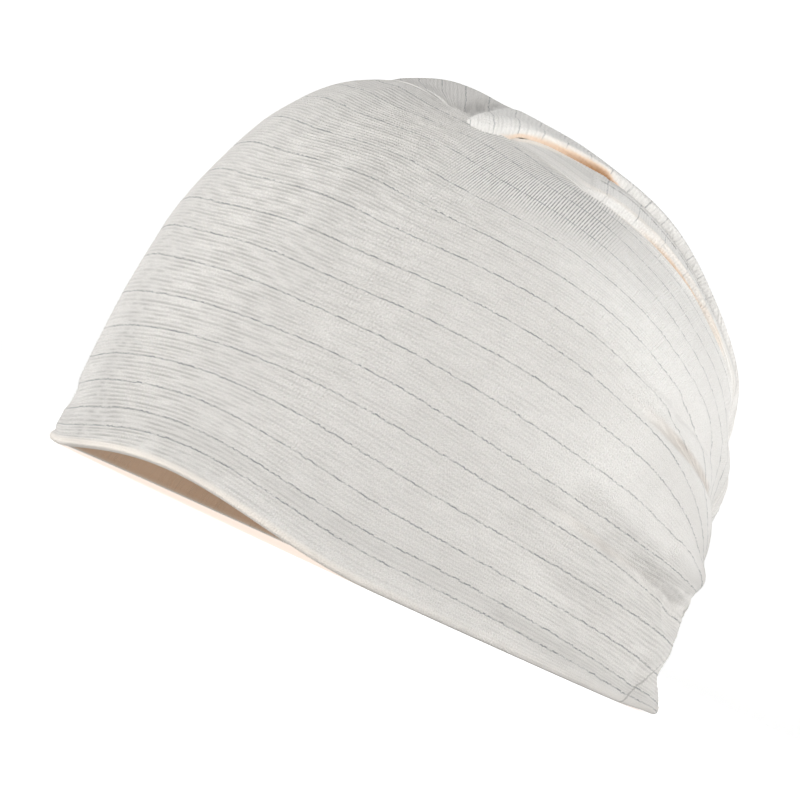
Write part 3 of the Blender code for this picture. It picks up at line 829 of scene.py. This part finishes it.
def node(tree, kind, inputs=(), output=0, **settings):
    # adds a shader node (capitals name an operation of the math node) and gives one output
    if kind.isupper():
        kind, settings = "Math", {"operation": kind}
    made = tree.nodes.new("ShaderNode" + kind)
    for key, value in settings.items():
        setattr(made, key, value)
    wire(tree, made, inputs if isinstance(inputs, dict) else dict(enumerate(inputs)))
    return made.outputs[output]


def newMaterial(name):
    material = bpy.data.materials.new(name)
    material.use_nodes = True
    tree = material.node_tree
    return material, tree, tree.nodes["Principled BSDF"]


knitLook = dict(
    # colours of painted light and shade: the near-white highlight, groove (shade in grooves and creases, also
    # the seam and a grey line), peach and warm (warm shade and glow), and cream (glow on the lips, and the
    # hem's own cream)
    yarn="#f3f0ec", shade="#d4d1cc", bright="#fcfaf6", stripe="#868889", groove="#9f9c98",
    cream="#fbf3e9", peach="#f2dac2", warm="#bd9066", wale="#807c78",
    # in mm: from stripe to stripe, half a stripe, how far its loops and the whole of it stray, one loop
    stripeGap=10.8, stripeWidth=0.24, loopStep=0.16, wander=0.3, loop=0.85,
    seamWidth=(0.45, 0.15),  # mm from the seam behind where its line starts and is full
    blotchesAMetre=70.0, relief=0.3 * mm,
    roughness=0.92, sheen=0.3, gloss=0.25,
)


def ribbedKnit():
    # fine cotton rib knit, brushed by wear: matt, a soft pale rim of fuzz, thin grey yarn stripes
    look = knitLook
    material, tree, shader = newMaterial("ribbedKnit")
    add = partial(node, tree)
    marks = add("UVMap", uv_map="marks")
    tone = add("Attribute", output="Color", attribute_name="tone")
    detail = add("Attribute", output="Color", attribute_name="detail")
    seamCm = add("Attribute", output="Alpha", attribute_name="tone")
    position = add("NewGeometry", output="Position")
    widthMm, stripe = (add("SeparateXYZ", (marks,), number) for number in range(2))
    warm, upright, pale = (add("SeparateColor", (tone,), number) for number in range(3))
    stepCm, shade, bright = (add("SeparateColor", (detail,), number) for number in range(3))
    heightMm = add("MULTIPLY", (stripe, look["stripeGap"]))

    def streaks(across, along, levels):
        # noise with its own scale across the ribs' run and up it, in mm
        spot = add("CombineXYZ", (add("MULTIPLY", (widthMm, 1 / across)),
                                  add("MULTIPLY", (heightMm, 1 / along))))
        return add("TexNoise", {"Vector": spot, "Scale": 1.0, "Detail": levels}, noise_dimensions="2D")

    # the stripe is knitted loop by loop, so it steps up and down and breaks here and there
    loopNumber = add("FLOOR", (add("MULTIPLY", (widthMm, 1 / look["loop"])),))
    stripeNumber = add("ROUND", (stripe,))
    spot = add("CombineXYZ", (loopNumber, stripeNumber))
    chance = add("TexWhiteNoise", {"Vector": spot}, noise_dimensions="2D")
    steps = add("MULTIPLY_ADD", (chance, 2 * look["loopStep"], -look["loopStep"]))
    stray = add("MULTIPLY_ADD", (streaks(4.0, 40.0, 2.0), 2 * look["wander"], -look["wander"]))
    strayed = add("ADD", (steps, stray))
    stepMm = add("MULTIPLY", (stepCm, 10.0))
    fromStripe = add("SUBTRACT", (stripe, stripeNumber))
    fromLine = add("ABSOLUTE", (add("MULTIPLY_ADD", (fromStripe, stepMm, strayed)),))
    line = add("MapRange", (fromLine, look["stripeWidth"] * 1.25, look["stripeWidth"] * 0.4, 0.0, 1.0),
               interpolation_type="SMOOTHSTEP")
    worn = add("MapRange", (streaks(3.0, 12.0, 3.0), 0.36, 0.6, 0.35, 1.0))
    broken = add("MapRange", (chance, 0.0, 0.35, 0.45, 1.0))
    aboveHem = add("LESS_THAN", (stripe, sideKnit["hemStripe"]))
    # the stripes are paler under the painted highlight
    faded = add("MapRange", (bright, 0.0, 1.0, 1.0, 0.6))

    # upright lines of loops, clear only where the cloth is stretched smooth
    turn = add("MULTIPLY", (widthMm, 2 * math.pi / sideKnit["walePitch"]))
    wave = add("MULTIPLY_ADD", (add("COSINE", (turn,)), 0.5, 0.5))
    lines = add("POWER", (wave, 2.2))
    dashes = add("MapRange", (streaks(1.2, 2.4, 1.0), 0.3, 0.55, 0.6, 1.0))

    # the line of the seam behind
    fromSeam = add("ABSOLUTE", (seamCm,))
    seam = add("MapRange", (fromSeam, look["seamWidth"][0] / 10, look["seamWidth"][1] / 10, 0.0, 0.6))

    # the loops themselves: a fine grain, here and there a fluffed one
    grain = add("MapRange", (streaks(0.45, 0.5, 2.0), 0.3, 0.7, 0.0, 1.0))
    blotch = add("TexNoise", {"Vector": position, "Scale": look["blotchesAMetre"], "Detail": 5.0})
    coarse = add("MULTIPLY", (blotch, 0.4))

    # every layer's colour, then the shares whose product says how much it covers
    layers = (
        ("shade", add("MULTIPLY_ADD", (grain, 0.6, coarse))),
        # painted highlight
        ("bright", bright, add("MapRange", (grain, 0.0, 1.0, 0.95, 0.6))),
        # painted shade in the rib grooves, creases and valleys
        ("groove", shade, add("MapRange", (streaks(9.0, 2.2, 3.0), 0.3, 0.65, 0.1, 1.0)), 0.6),
        # painted glow on the lips, and the hem's own cream
        ("cream", pale),
        # painted light on the stretched cloth between its upright lines
        ("bright", upright, 0.6),
        ("wale", lines, upright, dashes, 0.95),
        ("stripe", line, worn, broken, aboveHem, faded, 0.85),
        ("groove", seam),
        # painted warm shade and glow: peach where it is light, brown where it is deep
        ("peach", add("MapRange", (warm, 0.0, 0.35, 0.0, 1.0))),
        ("warm", add("MapRange", (warm, 0.35, 1.0, 0.0, 1.0))),
    )
    color = linear(look["yarn"])
    for name, share, *others in layers:
        for other in others:
            share = add("MULTIPLY", (share, other))
        color = add("Mix", {0: share, 6: color, 7: linear(look[name])}, 2, data_type="RGBA")

    sunk = add("MULTIPLY", (wave, -1.0))
    bump = add("Bump", {"Strength": 0.25, "Distance": look["relief"], "Height": sunk})
    bump = add("Bump", {"Strength": 0.7, "Distance": look["relief"], "Height": grain, "Normal": bump})
    wire(tree, shader, {"Base Color": color, "Normal": bump, "Roughness": look["roughness"],
                        "Sheen Weight": look["sheen"], "Specular IOR Level": look["gloss"]})
    return material


jerseyLook = dict(
    yarn="#f3dec2", shade="#dfc09c", through="#efca9f", glow=0.08,
    blotch=25, loop=0.5,  # a pale or dark patch and one loop of the knit, in mm
    relief=0.2 * mm, roughness=0.9, sheen=0.2,
)


def plainJersey():
    # thin plain cotton jersey: matt and warm, with hardly any relief
    look = jerseyLook
    material, tree, shader = newMaterial("plainJersey")
    add = partial(node, tree)
    position = add("NewGeometry", output="Position")
    blotch = add("TexNoise", {"Vector": position, "Scale": 1 / (look["blotch"] * mm), "Detail": 3.0})
    loops = add("TexNoise", {"Vector": position, "Scale": 1 / (look["loop"] * mm), "Detail": 1.0})
    color = add("Mix", {0: blotch, 6: linear(look["yarn"]), 7: linear(look["shade"])}, 2, data_type="RGBA")
    bump = add("Bump", {"Strength": 0.3, "Distance": look["relief"], "Height": loops})
    # painted glow: an emission stands in for the daylight that comes through the two thin layers
    wire(tree, shader, {"Base Color": color, "Normal": bump, "Roughness": look["roughness"],
                        "Sheen Weight": look["sheen"], "Emission Color": linear(look["through"]),
                        "Emission Strength": look["glow"]})
    return material


# Build

sidePoints, sideMarks, sideTone, sideDetail = buildSide()
lowest, highest = sidePoints.min((0, 1)), sidePoints.max((0, 1))
middle = np.array([(lowest[0] + highest[0] - outerBox[0].x - outerBox[1].x) / 2,
                   (lowest[1] + highest[1] - outerBox[0].y - outerBox[1].y) / 2, 0])
print("side cloth:", sidePoints.shape[:2], "moved by mm", np.round(middle / mm, 2))
sideNormals = gridNormals(sidePoints)
sideNormals[:, 0] = sideNormals[:, -1] = unit(sideNormals[:, 0] + sideNormals[:, -1])

knit = ribbedKnit()
jersey = plainJersey()
half = sideKnit["columnsASide"]
pieces = []
for name, columns in (("side_knit_left", slice(0, half + 1)), ("side_knit_right", slice(half, None))):
    parts = (part[:, columns] for part in (sidePoints - middle, sideMarks, sideTone, sideDetail, sideNormals))
    pieces.append(clothMesh(name, *parts))
for name, upper in (("crown_strip_lower", False), ("crown_strip_upper", True)):
    points, *painted = buildBand(upper)
    pieces.append(clothMesh(name, points - middle, *painted, -gridNormals(points), -1))
for piece in pieces:
    piece.data.materials.append(knit)
    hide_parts("outer_shell")
    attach(piece, "root")
    print(piece.name, "triangles", 2 * len(piece.data.polygons))

lining = liningMesh(*(part - middle for part in buildLining()))
lining.data.materials.append(jersey)
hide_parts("lining")
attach(lining, "root")
print("lining built")


# Floor, light and camera

studio = dict(
    floorRadius=1.8, floorSides=96, sweep=0.8, sweepSteps=17, wall=0.6,
    floorColor="#fbfbfa", floorGlow=0.62,
    azimuth=110, elevation=-1.5, distance=1.3, roll=24.6, frameWidth=0.236, sensor=36,
    aimAside=-0.00835, aimHeight=0.0536, nearest=0.05,
    lights=(
        # name, azimuth, elevation, size, power
        ("key", 182, 12, 1.0, 20),
        ("side", 75, 8, 1.0, 15),
        ("front", 28, 8, 1.0, 10.5),
        ("back", 270, 20, 1.2, 7),
    ),
    lightDistance=1.6, lightHeight=0.07,
    skyFall=(0.1, 0.9, 0.49, 0.17),  # two heights and the sky's strength at each
)


def buildStage():
    look = studio
    turn = np.linspace(0, math.pi / 2, look["sweepSteps"])
    profile = [(r, 0.0) for r in (0.4, 0.9, look["floorRadius"])]
    profile += [(look["floorRadius"] + look["sweep"] * math.sin(a), look["sweep"] * (1 - math.cos(a)))
                for a in turn[1:]]
    profile.append((profile[-1][0], profile[-1][1] + look["wall"]))
    count = look["floorSides"]
    vertices = [(r * math.cos(2 * math.pi * i / count), r * math.sin(2 * math.pi * i / count), z)
                for r, z in profile for i in range(count)] + [(0, 0, 0)]
    ring = [(i, (i + 1) % count) for i in range(count)]
    faces = [(row + i, row + count + i, row + count + j, row + j)
             for row in range(0, (len(profile) - 1) * count, count) for i, j in ring]
    faces += [(len(vertices) - 1, i, j) for i, j in ring]
    floor = meshFrom("studio_floor", vertices, faces)
    material, tree, shader = newMaterial("palePaper")
    wire(tree, shader, {"Base Color": linear(look["floorColor"]), "Roughness": 1,
                        "Emission Color": (1, 1, 1, 1), "Emission Strength": look["floorGlow"]})
    floor.data.materials.append(material)
    floor.visible_diffuse = False


def awayFrom(azimuth, elevation):
    # the direction in which a light or the camera stands
    a, e = math.radians(azimuth), math.radians(elevation)
    return Vector((math.sin(a) * math.cos(e), -math.cos(a) * math.cos(e), math.sin(e)))


def addLight(name, azimuth, elevation, size, power):
    data = bpy.data.lights.new(name, "AREA")
    data.shape = "DISK"
    data.size = size
    data.energy = power
    lamp = placed(name, data)
    away = awayFrom(azimuth, elevation)
    lamp.location = away * studio["lightDistance"] + Vector((0, 0, studio["lightHeight"]))
    lamp.rotation_mode = "QUATERNION"
    lamp.rotation_quaternion = away.to_track_quat("Z", "Y")


def buildCamera():
    look = studio
    a, roll = math.radians(look["azimuth"]), math.radians(look["roll"])
    back = awayFrom(look["azimuth"], look["elevation"])
    right = Vector((math.cos(a), math.sin(a), 0))
    up = back.cross(right)
    cameraRight = right * math.cos(roll) + up * math.sin(roll)
    cameraUp = up * math.cos(roll) - right * math.sin(roll)
    aim = right * look["aimAside"] + Vector((0, 0, look["aimHeight"]))
    data = bpy.data.cameras.new("camera")
    data.sensor_width = look["sensor"]
    data.lens = look["sensor"] * look["distance"] / look["frameWidth"]
    data.clip_start = look["nearest"]
    camera = placed("camera", data)
    axes = Matrix((cameraRight, cameraUp, back)).transposed().to_4x4()
    camera.matrix_world = Matrix.Translation(aim + back * look["distance"]) @ axes
    bpy.context.scene.camera = camera


buildStage()
for light in studio["lights"]:
    addLight(*light)
buildCamera()
world = bpy.data.worlds.new("studio")
world.use_nodes = True
background = next(n for n in world.node_tree.nodes if n.type == "BACKGROUND")
# the soft light is weaker from above
sky = node(world.node_tree, "TexCoord", output="Generated")
skyHeight = node(world.node_tree, "SeparateXYZ", (sky,), 2)
skyLight = node(world.node_tree, "MapRange", (skyHeight, *studio["skyFall"]))
wire(world.node_tree, background, {0: (1, 1, 1, 1), 1: skyLight})
bpy.context.scene.world = world
bpy.context.scene.view_settings.view_transform = "Standard"
print("studio ready")
